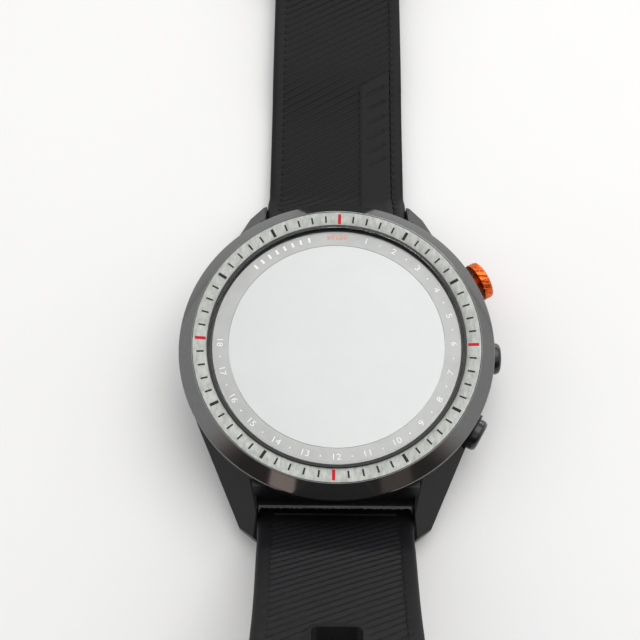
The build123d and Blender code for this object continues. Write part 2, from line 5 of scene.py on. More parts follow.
import bmesh
import bpy
import numpy as np
from mathutils import Matrix, Vector


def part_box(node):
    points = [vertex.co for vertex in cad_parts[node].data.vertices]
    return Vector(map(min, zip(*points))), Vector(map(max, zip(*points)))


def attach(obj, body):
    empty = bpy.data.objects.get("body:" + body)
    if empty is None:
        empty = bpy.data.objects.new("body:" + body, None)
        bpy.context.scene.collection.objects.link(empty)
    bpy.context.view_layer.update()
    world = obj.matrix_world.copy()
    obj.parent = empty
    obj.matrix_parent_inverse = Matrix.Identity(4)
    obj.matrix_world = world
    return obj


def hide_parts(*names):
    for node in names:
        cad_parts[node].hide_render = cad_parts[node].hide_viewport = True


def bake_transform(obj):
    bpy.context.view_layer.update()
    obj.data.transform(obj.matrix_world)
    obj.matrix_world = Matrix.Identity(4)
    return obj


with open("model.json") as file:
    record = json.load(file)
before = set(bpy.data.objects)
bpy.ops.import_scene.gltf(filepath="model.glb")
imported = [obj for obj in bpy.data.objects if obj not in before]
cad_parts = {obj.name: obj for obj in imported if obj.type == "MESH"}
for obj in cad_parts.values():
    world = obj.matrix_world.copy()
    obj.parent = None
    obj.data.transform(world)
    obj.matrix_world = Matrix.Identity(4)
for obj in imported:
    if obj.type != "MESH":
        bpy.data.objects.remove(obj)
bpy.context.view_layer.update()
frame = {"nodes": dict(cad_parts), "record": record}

MM = 0.001

# ---- what the frame says about the case (millimetres) ----
BEZEL_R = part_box("bezel")[1].x / MM
SCALE_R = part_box("scale_ring")[1].x / MM
SCALE_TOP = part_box("scale_ring")[1].z / MM
LENS_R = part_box("lens")[1].x / MM
LENS_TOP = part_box("lens")[1].z / MM
MASK_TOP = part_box("hole_number_ring")[1].z / MM
SCALE_INNER_R = 19.16
SCALE_DISH = 0.28
RING_TURN = math.radians(1.05)

# ---- strap, as in the design (millimetres) ----
PIN_Y = 24.8
PIN_Z = 3.8
PIN_R = 0.9
KNUCKLE_R = 2.6
CLIP_W = 18.0
CLIP_LENGTH = 7.4
CLIP_TOP = 0.5
CLIP_KNUCKLE_R = 1.4
STRAP_HALF_T = 1.4
STRAP_W = 22.3
UPPER_ROUTE = (PIN_Y, PIN_Z, -27.0, ((3.4, 0), (3.4, 27), (12, 0), (7, 10), (7, -10), (42.5, 0)))
LOWER_ROUTE = (-PIN_Y, PIN_Z, 127.0, ((8.0, 0.0), (22.0, 4.0), (101.6, 138.6)))
BAR_R = 0.8
BAR_HALF_NOTCH = 2.9
SLOT_W = 6.2
SLOT_L = 3.6
SLOT_FIRST = 31.8
SLOT_PITCH = 7.2
SLOT_COUNT = 13
RIB_PITCH = 1.4
RIB_SLOPE = math.tan(math.radians(30))
RIB_PHASES = (0.0, 0.15, 0.32, 0.5, 0.68, 0.85)
RIB_HEIGHT = 0.21
PANEL_DEPTH = 0.27
MARGIN = 1.94
LABEL_X = (4.0, 9.1)
LABEL_END = 25.2
HATCH_X = (5.1, 8.1)
HATCH_PITCH = 2.8
HATCH_WIDTH = 0.55

# ---- knurled button, as in the design (millimetres) ----
CROWN_ANGLE = math.radians(30)
CROWN_Z = 7.0
CROWN_R = 3.03
CROWN_INNER = 25.2
CROWN_OUTER = 26.69
CROWN_GROOVES = 18
CROWN_DEPTH = 0.2
CROWN_TWIST = 0.66
STEM_R = 1.2
STEM_END = 18.95


# ================================ mesh helpers ================================
def mesh_object(name, points, faces, material, sharp_deg=35.0):
    """Object from points in millimetres, shaded smooth except at sharp edges."""
    mesh = bpy.data.meshes.new(name)
    mesh.from_pydata([tuple(c * MM for c in p) for p in points], [], faces)
    mesh.validate()
    obj = bpy.data.objects.new(name, mesh)
    bpy.context.scene.collection.objects.link(obj)
    mesh.materials.append(material)
    finish_shading(obj, sharp_deg)
    return obj


def finish_shading(obj, sharp_deg=35.0):
    """Smooth faces, with edges sharper than an angle kept sharp."""
    mesh = obj.data
    mesh.polygons.foreach_set("use_smooth", [True] * len(mesh.polygons))
    mesh.set_sharp_from_angle(angle=math.radians(sharp_deg))


def outward_normals(obj):
    """Turn all faces of a closed mesh outwards."""
    bm = bmesh.new()
    bm.from_mesh(obj.data)
    bmesh.ops.recalc_face_normals(bm, faces=bm.faces)
    bm.to_mesh(obj.data)
    bm.free()


def softened(points, radius, steps=4):
    """Closed outline with each corner rounded over a short length."""
    out = []
    count = len(points)
    for i in range(count):
        a, b, c = (np.array(points[(i + k) % count], float) for k in (-1, 0, 1))
        cut_in = min(radius, np.linalg.norm(b - a) * 0.45)
        cut_out = min(radius, np.linalg.norm(c - b) * 0.45)
        p = b + (a - b) / np.linalg.norm(a - b) * cut_in
        q = b + (c - b) / np.linalg.norm(c - b) * cut_out
        for k in range(steps + 1):
            t = k / steps
            out.append(tuple((1 - t) ** 2 * p + 2 * t * (1 - t) * b + t * t * q))
    return out


def revolved(name, profile, material, segments=288, sharp_deg=35.0):
    """Ring made by turning a closed outline of radius and height about the case's axis."""
    points = []
    for i in range(segments):
        a = 2 * math.pi * i / segments
        points += [(r * math.cos(a), r * math.sin(a), z) for r, z in profile]
    n = len(profile)
    faces = []
    for i in range(segments):
        j = (i + 1) % segments
        for k in range(n):
            m = (k + 1) % n
            faces.append((i * n + k, j * n + k, j * n + m, i * n + m))
    obj = mesh_object(name, points, faces, material, sharp_deg)
    outward_normals(obj)
    return obj


def disc_stack(name, profile, material, segments=192, sharp_deg=35.0):
    """Closed round body: the outline starts and ends on the axis."""
    points = [(0, 0, profile[0][1])]
    rims = profile[1:-1]
    for r, z in rims:
        for i in range(segments):
            a = 2 * math.pi * i / segments
            points.append((r * math.cos(a), r * math.sin(a), z))
    points.append((0, 0, profile[-1][1]))
    faces = []
    last = len(points) - 1
    for i in range(segments):
        j = (i + 1) % segments
        faces.append((0, 1 + i, 1 + j))
        for k in range(len(rims) - 1):
            a = 1 + k * segments
            b = a + segments
            faces.append((a + i, b + i, b + j, a + j))
        a = 1 + (len(rims) - 1) * segments
        faces.append((last, a + j, a + i))
    obj = mesh_object(name, points, faces, material, sharp_deg)
    outward_normals(obj)
    return obj


def prism(points, faces, outline, low, high):
    """Add an upright prism over a flat outline to a list of points and faces."""
    start = len(points)
    n = len(outline)
    points += [(x, y, low) for x, y in outline]
    points += [(x, y, high) for x, y in outline]
    faces.append(tuple(range(start + n - 1, start - 1, -1)))
    faces.append(tuple(range(start + n, start + 2 * n)))
    for i in range(n):
        j = (i + 1) % n
        faces.append((start + i, start + j, start + n + j, start + n + i))


def radial_bar(points, faces, angle, r_from, r_to, width, low, high):
    """Thin bar along a radius, angle measured clockwise from 12 o'clock."""
    out = Vector((math.sin(angle), math.cos(angle)))
    across = Vector((out.y, -out.x)) * (width / 2)
    corners = [out * r_from - across, out * r_from + across, out * r_to + across, out * r_to - across]
    prism(points, faces, [(c.x, c.y) for c in corners], low, high)


def smoothstep(value, low, high):
    """0 below low, 1 above high, smooth between."""
    t = np.clip((value - low) / (high - low), 0, 1)
    return t * t * (3 - 2 * t)


def cut(obj, cutter):
    """Take a closed mesh out of obj."""
    modifier = obj.modifiers.new("cut", "BOOLEAN")
    modifier.operation = "DIFFERENCE"
    modifier.solver = "EXACT"
    modifier.object = cutter
    depsgraph = bpy.context.evaluated_depsgraph_get()
    mesh = bpy.data.meshes.new_from_object(obj.evaluated_get(depsgraph))
    obj.modifiers.clear()
    old = obj.data
    obj.data = mesh
    bpy.data.meshes.remove(old)
    bpy.data.objects.remove(cutter)


# ================================ materials ================================
def surface(name, dark, light, rough, grain, bump=0.0, stretch=(1, 1, 1), detail=4.0, **sockets):
    """Principled material whose colour, roughness and bump follow one fine noise of size grain in millimetres."""
    material = bpy.data.materials.new(name)
    material.use_nodes = True
    nodes, links = material.node_tree.nodes, material.node_tree.links
    shader = nodes["Principled BSDF"]
    where = nodes.new("ShaderNodeTexCoord")
    mapping = nodes.new("ShaderNodeMapping")
    mapping.inputs["Scale"].default_value = stretch
    noise = nodes.new("ShaderNodeTexNoise")
    noise.inputs["Scale"].default_value = 1 / (grain * MM)
    noise.inputs["Detail"].default_value = detail
    noise.inputs["Roughness"].default_value = 0.6
    ramp = nodes.new("ShaderNodeValToRGB")
    ramp.color_ramp.elements[0].position = 0.3
    ramp.color_ramp.elements[0].color = (*dark, 1)
    ramp.color_ramp.elements[1].position = 0.7
    ramp.color_ramp.elements[1].color = (*light, 1)
    spread = nodes.new("ShaderNodeMapRange")
    spread.inputs["To Min"].default_value = rough[0]
    spread.inputs["To Max"].default_value = rough[1]
    links.new(where.outputs["Object"], mapping.inputs["Vector"])
    links.new(mapping.outputs["Vector"], noise.inputs["Vector"])
    links.new(noise.outputs["Fac"], ramp.inputs["Fac"])
    links.new(noise.outputs["Fac"], spread.inputs["Value"])
    links.new(ramp.outputs["Color"], shader.inputs["Base Color"])
    links.new(spread.outputs["Result"], shader.inputs["Roughness"])
    if bump:
        relief = nodes.new("ShaderNodeBump")
        relief.inputs["Strength"].default_value = 0.6
        relief.inputs["Distance"].default_value = bump * MM
        links.new(noise.outputs["Fac"], relief.inputs["Height"])
        links.new(relief.outputs["Normal"], shader.inputs["Normal"])
    for socket, value in sockets.items():
        shader.inputs[socket.replace("_", " ")].default_value = value
    return material


def clear_glass(name, ior):
    """See-through pane whose sloping outer faces mirror by Fresnel; what lies under its flat face has a coat."""
    material = bpy.data.materials.new(name)
    material.use_nodes = True
    nodes, links = material.node_tree.nodes, material.node_tree.links
    nodes.remove(nodes["Principled BSDF"])
    through = nodes.new("ShaderNodeBsdfTransparent")
    mirror = nodes.new("ShaderNodeBsdfGlossy")
    mirror.inputs["Roughness"].default_value = 0.09
    edge = nodes.new("ShaderNodeFresnel")
    edge.inputs["IOR"].default_value = ior
    side = nodes.new("ShaderNodeNewGeometry")
    front = nodes.new("ShaderNodeMath")
    front.operation = "SUBTRACT"
    front.inputs[0].default_value = 1.0
    share = nodes.new("ShaderNodeMath")
    share.operation = "MULTIPLY"
    split = nodes.new("ShaderNodeSeparateXYZ")
    sloping = nodes.new("ShaderNodeMapRange")
    sloping.inputs["From Min"].default_value = 0.99
    sloping.inputs["From Max"].default_value = 0.96
    on_slope = nodes.new("ShaderNodeMath")
    on_slope.operation = "MULTIPLY"
    mix = nodes.new("ShaderNodeMixShader")
    links.new(side.outputs["Backfacing"], front.inputs[1])
    links.new(front.outputs[0], share.inputs[0])
    links.new(edge.outputs[0], share.inputs[1])
    links.new(side.outputs["Normal"], split.inputs[0])
    links.new(split.outputs["Z"], sloping.inputs["Value"])
    links.new(share.outputs[0], on_slope.inputs[0])
    links.new(sloping.outputs["Result"], on_slope.inputs[1])
    links.new(on_slope.outputs[0], mix.inputs[0])
    links.new(through.outputs[0], mix.inputs[1])
    links.new(mirror.outputs[0], mix.inputs[2])
    links.new(mix.outputs[0], nodes["Material Output"].inputs["Surface"])
    return material


SILICONE = surface("strap_silicone", (0.0045, 0.004, 0.005), (0.0085, 0.008, 0.0092), (0.46, 0.58), 0.35, 0.012,
                   Specular_IOR_Level=0.16)
POLYMER = surface("case_polymer", (0.007, 0.0065, 0.0075), (0.013, 0.012, 0.013), (0.30, 0.42), 0.22, 0.012,
                  Specular_IOR_Level=0.22)
CERAMIC = surface("bezel_ceramic", (0.145, 0.146, 0.146), (0.165, 0.166, 0.165), (0.06, 0.09), 0.6, 0.0,
                  Metallic=0.92)
SILVER = surface("scale_silver", (0.25, 0.262, 0.245), (0.43, 0.445, 0.42), (0.35, 0.5), 0.55, 0.006,
                 stretch=(1.0, 0.45, 1.0), Metallic=0.25)
TICK_DARK = surface("tick_dark", (0.012, 0.013, 0.013), (0.022, 0.024, 0.023), (0.5, 0.6), 0.3,
                    Specular_IOR_Level=0.15)
TICK_RED = surface("tick_red", (0.46, 0.008, 0.016), (0.56, 0.014, 0.026), (0.5, 0.6), 0.3,
                   Specular_IOR_Level=0.12)
RUBBER = surface("seal_rubber", (0.006, 0.006, 0.006), (0.011, 0.011, 0.011), (0.5, 0.6), 0.3, 0.01)
MASK = surface("number_mask", (0.235, 0.243, 0.24), (0.285, 0.29, 0.282), (0.34, 0.4), 5.0, Metallic=0.5,
               Coat_Weight=1.0, Coat_Roughness=0.08)
SCREEN = surface("screen_off", (0.318, 0.329, 0.326), (0.334, 0.344, 0.341), (0.3, 0.34), 9.0, detail=2.0,
                 Metallic=0.7, Coat_Weight=1.0, Coat_Roughness=0.08)
PRINT_WHITE = surface("print_white", (0.74, 0.74, 0.72), (0.80, 0.80, 0.78), (0.5, 0.6), 0.4, Coat_Weight=1.0,
                      Coat_Roughness=0.08)
PRINT_RED = surface("print_red", (0.52, 0.22, 0.19), (0.58, 0.26, 0.22), (0.5, 0.6), 0.4, Coat_Weight=1.0,
                    Coat_Roughness=0.08)
LENS_GLASS = clear_glass("lens_glass", 1.52)
ORANGE = surface("button_orange", (0.62, 0.085, 0.012), (0.85, 0.17, 0.025), (0.22, 0.34), 0.25, 0.006,
                 Metallic=0.85)
GLOSS_BLACK = surface("button_black", (0.008, 0.008, 0.009), (0.014, 0.014, 0.015), (0.16, 0.26), 0.5, 0.003)
BLACK_METAL = surface("black_metal", (0.020, 0.020, 0.022), (0.034, 0.034, 0.036), (0.28, 0.4), 0.15, 0.004,
                      stretch=(0.15, 1, 1), Metallic=0.6)
STEEL = surface("steel", (0.42, 0.42, 0.43), (0.58, 0.58, 0.59), (0.22, 0.38), 0.12, 0.003,
                stretch=(0.1, 1, 1), Metallic=1.0)
INNER = surface("inner_plastic", (0.02, 0.02, 0.022), (0.04, 0.04, 0.043), (0.45, 0.6), 0.3, 0.01)
BOARD = surface("circuit_board", (0.01, 0.07, 0.035), (0.02, 0.12, 0.06), (0.3, 0.5), 0.8, 0.01)
GOLD = surface("contact_gold", (0.60, 0.40, 0.12), (0.78, 0.55, 0.20), (0.2, 0.32), 0.3, 0.003, Metallic=1.0)
FOIL = surface("battery_foil", (0.42, 0.43, 0.45), (0.58, 0.59, 0.61), (0.3, 0.5), 0.9, 0.05, Metallic=0.8)
LED = surface("led_package", (0.55, 0.65, 0.30), (0.72, 0.80, 0.45), (0.3, 0.4), 0.4)
SMOKED = surface("window_glass", (0.006, 0.005, 0.005), (0.010, 0.008, 0.008), (0.05, 0.09), 2.0,
                 Coat_Weight=0.5)

CAD_MATERIALS = {
    "case_polymer": POLYMER, "bezel_ceramic": CERAMIC, "scale_silver": SILVER, "seal_rubber": RUBBER,
    "lens_glass": LENS_GLASS, "number_mask": MASK, "display": SCREEN, "inner_plastic": INNER,
    "circuit_board": BOARD, "shield_metal": STEEL, "antenna_metal": GOLD, "battery_foil": FOIL, "steel": STEEL,
    "black_metal": BLACK_METAL, "window_glass": SMOKED, "led_package": LED, "contact_gold": GOLD,
    "button_orange": ORANGE, "button_black": GLOSS_BLACK, "strap_silicone": SILICONE,
}


SOFT_EDGES = {"buckle_frame": 0.28, "buckle_tongue": 0.18}


def dress_cad_nodes():
    """Give every CAD node the material of its record slot."""
    for sub in frame["record"]["subparts"]:
        obj = frame["nodes"][sub["node"]]
        obj.data.materials.clear()
        obj.data.materials.append(CAD_MATERIALS[sub["material_slot"]])
        finish_shading(obj, 28.0)
        if sub["node"] in SOFT_EDGES:
            weld = obj.modifiers.new("weld", "WELD")
            weld.merge_threshold = 0.002 * MM
            bevel = obj.modifiers.new("bevel", "BEVEL")
            bevel.width = SOFT_EDGES[sub["node"]] * MM
            bevel.segments = 3
            bevel.limit_method = "ANGLE"
            bevel.angle_limit = math.radians(32)
            bevel.harden_normals = True


# ================================ strap ================================
def route_table(route):
    """Distance, place and heading along a strap route in fine steps."""
    y, z, heading, stretches = route
    rows = []
    s = -3.0
    step = 0.05
    ends = np.cumsum([length for length, _ in stretches])
    y -= 3.0 * math.cos(math.radians(heading))
    z -= 3.0 * math.sin(math.radians(heading))
    while s <= ends[-1] + 3.0:
        rows.append((s, y, z, math.radians(heading)))
        k = int(np.searchsorted(ends, s + step / 2))
        bend = 0.0
        if 0 <= s + step / 2 and k < len(stretches):
            bend = stretches[k][1] * step / stretches[k][0]
        middle = math.radians(heading + bend / 2)
        y += step * math.cos(middle)
        z += step * math.sin(middle)
        heading += bend
        s += step
    return np.array(rows)


def on_route(table, outward, x, s, v):
    """Points in space from distances across, along and out of the strap."""
    y = np.interp(s, table[:, 0], table[:, 1])
    z = np.interp(s, table[:, 0], table[:, 2])
    h = np.interp(s, table[:, 0], table[:, 3])
    return np.stack([x, y - outward * v * np.sin(h), z + outward * v * np.cos(h)], axis=-1)


def rib_wave(phase):
    """Height from 0 to 1 of a rounded rib."""
    return 0.5 - 0.5 * np.cos(2 * math.pi * phase)


def half_thickness(s, far_end):
    """Half of the strap's thickness: a knuckle at the pin, then the plain band, round at a bar end."""
    knuckle = np.sqrt(np.maximum(KNUCKLE_R ** 2 - np.minimum(s, 0) ** 2, 0))
    grow = (KNUCKLE_R - STRAP_HALF_T) * (1 - smoothstep(s, 0, 4.6))
    half = np.where(s < 0, knuckle, STRAP_HALF_T + grow)
    over = np.maximum(s - far_end, 0)
    return np.minimum(half, np.sqrt(np.maximum(STRAP_HALF_T ** 2 - over ** 2, 0.0)) + 0.0)


def strap_mesh(name, route, outward, s_from, s_to, round_from, half_width, relief, inner_columns):
    """Closed strap half whose rows follow the slanting ribs; relief is the depth below the smooth margin."""
    table = route_table(route)
    edge = [(0.25, -1.0, 0.0), (0.0, -1.0, 0.30), (0.0, 1.0, -0.42), (0.10, 1.0, -0.20), (0.42, 1.0, 0.0),
            (1.0, 1.0, 0.0), (MARGIN - 0.06, 1.0, 0.0), (MARGIN + 0.08, 1.0, 0.0)]
    columns = []
    for inset, face, lift in edge:
        columns.append((1.0, inset, face, lift))
    for x in sorted(inner_columns, reverse=True):
        columns.append((x, None, 1.0, 0.0))
    for inset, face, lift in reversed(edge):
        columns.append((-1.0, inset, face, lift))
    for x in (-9.0, -5.0, 0.0, 5.0, 9.0):
        columns.append((x, None, -1.0, 0.0))
    reach = STRAP_W / 2 * RIB_SLOPE + 0.5
    first = math.floor((s_from - reach) / RIB_PITCH)
    last = math.ceil((s_to + reach) / RIB_PITCH)
    row_at = np.array([(k + p) * RIB_PITCH for k in range(first, last) for p in RIB_PHASES])
    nominal = np.array([side * (STRAP_W / 2 - inset) if inset is not None else side
                        for side, inset, _, _ in columns])
    s = np.clip(row_at[:, None] + outward * nominal[None, :] * RIB_SLOPE, s_from, s_to)
    half = half_width(s)
    x = np.zeros_like(s)
    v = np.zeros_like(s)
    body = half_thickness(s, round_from)
    for i, (side, inset, face, lift) in enumerate(columns):
        if inset is None:
            x[:, i] = side * np.minimum(1.0, half[:, i] / (STRAP_W / 2))
        else:
            x[:, i] = side * np.maximum(half[:, i] - inset, 0.02)
        room = np.minimum(body[:, i] / STRAP_HALF_T, 1.0)
        v[:, i] = face * body[:, i] + lift * room
        if face > 0 and (inset is None or inset > MARGIN):
            v[:, i] -= relief(x[:, i], s[:, i], row_at) * room
    space = on_route(table, outward, x, s, v)
    rows, cols = s.shape
    faces = []
    for j in range(rows - 1):
        for i in range(cols):
            k = (i + 1) % cols
            faces.append((j * cols + i, j * cols + k, (j + 1) * cols + k, (j + 1) * cols + i))
    faces.append(tuple(range(cols)))
    faces.append(tuple(range((rows - 1) * cols, rows * cols))[::-1])
    obj = mesh_object(name, space.reshape(-1, 3).tolist(), faces, SILICONE)
    bm = bmesh.new()
    bm.from_mesh(obj.data)
    bmesh.ops.remove_doubles(bm, verts=bm.verts, dist=0.004 * MM)
    bmesh.ops.dissolve_degenerate(bm, edges=bm.edges, dist=0.002 * MM)
    bmesh.ops.recalc_face_normals(bm, faces=bm.faces)
    bm.to_mesh(obj.data)
    bm.free()
    return obj, table


def route_cutter(table, outward, outline_sv, half_width):
    """Prism across the strap from an outline of distances along and out of it."""
    corners = outline_sv
    outline_sv = []
    for a, b in zip(corners, corners[1:] + corners[:1]):
        steps = max(1, math.ceil(abs(b[0] - a[0]) / 0.4))
        outline_sv += [(a[0] + (b[0] - a[0]) * k / steps, a[1] + (b[1] - a[1]) * k / steps)
                       for k in range(steps)]
    points = []
    for side in (-1, 1):
        for s, v in outline_sv:
            place = on_route(table, outward, np.array(side * half_width), np.array(s), np.array(v))
            points.append(place.tolist())
    n = len(outline_sv)
    faces = [tuple(range(n))[::-1], tuple(range(n, 2 * n))]
    for i in range(n):
        j = (i + 1) % n
        faces.append((i, j, n + j, n + i))
    obj = mesh_object("cutter", points, faces, SILICONE)
    outward_normals(obj)
    return obj


def circle_outline(s, r, steps=40):
    """Round outline about the centre line at a distance along the strap."""
    angles = [2 * math.pi * i / steps for i in range(steps)]
    return [(s + r * math.cos(a), r * math.sin(a)) for a in angles]


def rounded_rectangle(width, length, r, steps=6):
    """Outline of a rectangle with round corners, centred."""
    out = []
    for cx, cy, start in ((1, 1, 0), (-1, 1, 90), (-1, -1, 180), (1, -1, 270)):
        for k in range(steps + 1):
            a = math.radians(start + 90 * k / steps)
            out.append((cx * (width / 2 - r) + r * math.cos(a), cy * (length / 2 - r) + r * math.sin(a)))
    return out


def cut_pin_end(obj, table, outward):
    """Pocket for the end clip and the hole for the lug pin."""
    pocket = [(-2.95, -3.4), (CLIP_LENGTH + 0.1, -3.4), (CLIP_LENGTH + 0.1, CLIP_TOP + 0.05),
              (-2.95, CLIP_TOP + 0.05)]
    cut(obj, route_cutter(table, outward, pocket, CLIP_W / 2 + 0.05))
    cut(obj, route_cutter(table, outward, circle_outline(0, CLIP_KNUCKLE_R + 0.05), CLIP_W / 2 + 0.06))
    cut(obj, route_cutter(table, outward, circle_outline(0, PIN_R + 0.09), 20))


def lug_fill(s):
    """Extra half width that nearly closes the gap between the lugs."""
    return 0.2 * (1 - smoothstep(s, 3.4, 5.6))


def upper_relief(x, s, row_at):
    """Ribbed panel of the buckle half, with a smooth raised field beside the right margin."""
    wave = rib_wave((row_at / RIB_PITCH) % 1.0)
    depth = PANEL_DEPTH - RIB_HEIGHT * wave
    in_label = (x > LABEL_X[0]) & (x < LABEL_X[1]) & (row_at < LABEL_END)
    in_hatch = in_label & (x > HATCH_X[0]) & (x < HATCH_X[1]) & (row_at > 8)
    hatch = in_hatch & (row_at % HATCH_PITCH < HATCH_WIDTH)
    depth = np.where(in_label, 0.02, depth)
    depth = np.where(hatch, 0.15, depth)
    return depth * smoothstep(s, 0.0, 1.5) * (1 - smoothstep(s, 72, 73))


def slot_distance(x, s):
    """Distance outside the nearest slot's edge."""
    k = np.clip(np.round((s - SLOT_FIRST) / SLOT_PITCH), 0, SLOT_COUNT - 1)
    dx = np.abs(x) - SLOT_W / 2 + 0.9
    ds = np.abs(s - SLOT_FIRST - k * SLOT_PITCH) - SLOT_L / 2 + 0.9
    return np.hypot(np.maximum(dx, 0), np.maximum(ds, 0)) + np.minimum(np.maximum(dx, ds), 0) - 0.9


def lower_relief(x, s, row_at):
    """Ribbed panel of the hole half, with a smooth rim round each slot."""
    wave = rib_wave((row_at / RIB_PITCH) % 1.0)
    depth = PANEL_DEPTH - RIB_HEIGHT * wave
    depth = depth * smoothstep(slot_distance(x, s), 0.5, 0.75)
    return depth * smoothstep(s, 2.0, 3.2) * (1 - smoothstep(s, 121, 122))


def build_upper_strap():
    """Buckle half: ribbed band with a notch and a hole for the buckle bar."""
    bar_s = sum(length for length, _ in UPPER_ROUTE[3])

    def half_width(s):
        return STRAP_W / 2 + lug_fill(s) - 0.95 * smoothstep(s, bar_s - 14, bar_s - 4)

    columns = [-8.8 + 0.8 * k for k in range(16)] + [3.85, 4.05, 4.6, 5.05, 5.2, 5.9, 6.6, 7.3, 8.0, 8.15, 9.05]
    obj, table = strap_mesh("upper_strap", UPPER_ROUTE, 1, 0.04 - KNUCKLE_R, bar_s + 1.36, bar_s, half_width,
                            upper_relief, columns)
    cut_pin_end(obj, table, 1)
    cut(obj, route_cutter(table, 1, circle_outline(bar_s, BAR_R + 0.06), 20))
    notch = [(bar_s - 3.1, -3), (bar_s + 2.5, -3), (bar_s + 2.5, 3), (bar_s - 3.1, 3)]
    cut(obj, route_cutter(table, 1, notch, BAR_HALF_NOTCH))
    finish_shading(obj, 40)
    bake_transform(obj)
    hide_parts("strap_upper_near", "strap_upper_far")


def build_lower_strap():
    """Hole half: ribbed band with a row of slots, standing as an arch."""
    length = sum(part for part, _ in LOWER_ROUTE[3])
    tip_r = 9.0

    def half_width(s):
        plain = STRAP_W / 2 + lug_fill(s) - 0.66 * smoothstep(s, 2, 30) - 0.4 * smoothstep(s, 30, 100)
        into_tip = np.clip((s - (length - tip_r)) / tip_r, 0, 0.9999)
        return plain * (1 - into_tip ** 2.6) ** (1 / 2.6)

    half_columns = [0.35, 1.05, 1.75, 2.4, 2.95, 3.2, 3.45, 3.75, 4.2, 4.9, 5.6, 6.3, 7.0, 7.7, 8.4]
    columns = half_columns + [-x for x in half_columns]
    obj, table = strap_mesh("lower_strap", LOWER_ROUTE, -1, 0.04 - KNUCKLE_R, length - 0.02, length + 9, half_width,
                            lower_relief, columns)
    cut_pin_end(obj, table, -1)
    points, faces = [], []
    for k in range(SLOT_COUNT):
        s = SLOT_FIRST + k * SLOT_PITCH
        outline = rounded_rectangle(SLOT_W, SLOT_L, 0.9)
        base = len(points)
        n = len(outline)
        for v in (-3.0, 3.0):
            for x, ds in outline:
                flat = on_route(table, -1, np.array(x), np.array(s), np.array(v))
                h = np.interp(s, table[:, 0], table[:, 3])
                points.append((flat[0], flat[1] + ds * math.cos(h), flat[2] + ds * math.sin(h)))
        faces.append(tuple(range(base + n - 1, base - 1, -1)))
        faces.append(tuple(range(base + n, base + 2 * n)))
        for i in range(n):
            j = (i + 1) % n
            faces.append((base + i, base + j, base + n + j, base + n + i))
    slots = mesh_object("slots", points, faces, SILICONE)
    outward_normals(slots)
    cut(obj, slots)
    finish_shading(obj, 40)
    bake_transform(obj)
    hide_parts("strap_lower_near", "strap_lower_far")


def build_keeper(name, node, body):
    """Soft loop round the strap: a rounded band swept round a rounded rectangle."""
    low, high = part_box(node)
    width = (high.x - low.x) / MM
    height = (high.z - low.z) / MM
    length = (high.y - low.y) / MM
    middle = ((low.x + high.x) / 2 / MM, (low.y + high.y) / 2 / MM, (low.z + high.z) / 2 / MM)
    wall = 1.1
    path = rounded_rectangle(width - wall, height - wall, 1.2, 8)
    section = softened([(-wall / 2, -length / 2), (wall / 2, -length / 2), (wall / 2, length / 2),
                        (-wall / 2, length / 2)], 0.42, 4)
    n, m = len(path), len(section)
    points = []
    for i in range(n):
        before, after = Vector(path[i - 1]), Vector(path[(i + 1) % n])
        along = (after - before).normalized()
        out = Vector((along.y, -along.x))
        for a, b in section:
            points.append((middle[0] + path[i][0] + out.x * a, middle[1] + b, middle[2] + path[i][1] + out.y * a))
    faces = []
    for i in range(n):
        j = (i + 1) % n
        for k in range(m):
            l = (k + 1) % m
            faces.append((i * m + k, j * m + k, j * m + l, i * m + l))
    obj = mesh_object(name, points, faces, SILICONE, 50)
    outward_normals(obj)
    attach(obj, body)
    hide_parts(node)


# ================================ bezel, dial and lens ================================
def build_bezel():
    """Polished ring with a sloping face, small rounded edges and a seat for the scale."""
    outline = [(17.2, 11.5), (17.2, 12.9), (19.1, 12.9), (19.1, 13.4), (SCALE_R + 0.03, 13.4),
               (SCALE_R + 0.03, 14.1), (SCALE_R + 0.12, 14.18), (SCALE_R + 0.22, 14.13), (BEZEL_R - 0.10, 12.66),
               (BEZEL_R, 12.46), (BEZEL_R - 0.03, 12.3), (BEZEL_R - 0.22, 11.5), (BEZEL_R - 0.3, 11.3),
               (20.5, 11.3), (20.5, 11.0), (19.6, 11.0), (19.6, 11.5)]
    obj = revolved("bezel_polished", softened(outline, 0.09, 3), CERAMIC, 360)
    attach(obj, "case")
    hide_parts("bezel")


def scale_height(r):
    """Height of the dished scale at a radius."""
    t = (r - SCALE_INNER_R) / (SCALE_R - SCALE_INNER_R)
    return SCALE_TOP - SCALE_DISH * (1 - t)


def build_scale():
    """Silver ring with sixty ticks, the four quarter ones red."""
    outline = [(SCALE_INNER_R, 13.4), (SCALE_R, 13.4), (SCALE_R, SCALE_TOP), (SCALE_INNER_R, SCALE_TOP - SCALE_DISH)]
    ring = revolved("scale_face", softened(outline, 0.05, 2), SILVER, 360)
    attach(ring, "case")
    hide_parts("scale_ring")
    dark, red = ([], []), ([], [])
    for i in range(60):
        angle = 2 * math.pi * i / 60 + RING_TURN
        if i % 15 == 0:
            points, faces, length, width = *red, 1.6, 0.46
        elif i % 5 == 0:
            points, faces, length, width = *dark, 1.35, 0.46
        else:
            points, faces, length, width = *dark, 1.05, 0.26
        r_from, r_to = 20.15 - length / 2, 20.15 + length / 2
        start = len(points)
        radial_bar(points, faces, angle, r_from, r_to, width, -0.05, 0.014)
        for k in range(start, len(points)):
            x, y, z = points[k]
            points[k] = (x, y, z + scale_height(math.hypot(x, y)))
    for name, (points, faces), material in (("scale_ticks", dark, TICK_DARK), ("scale_quarter_ticks", red, TICK_RED)):
        obj = mesh_object(name, points, faces, material)
        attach(obj, "case")


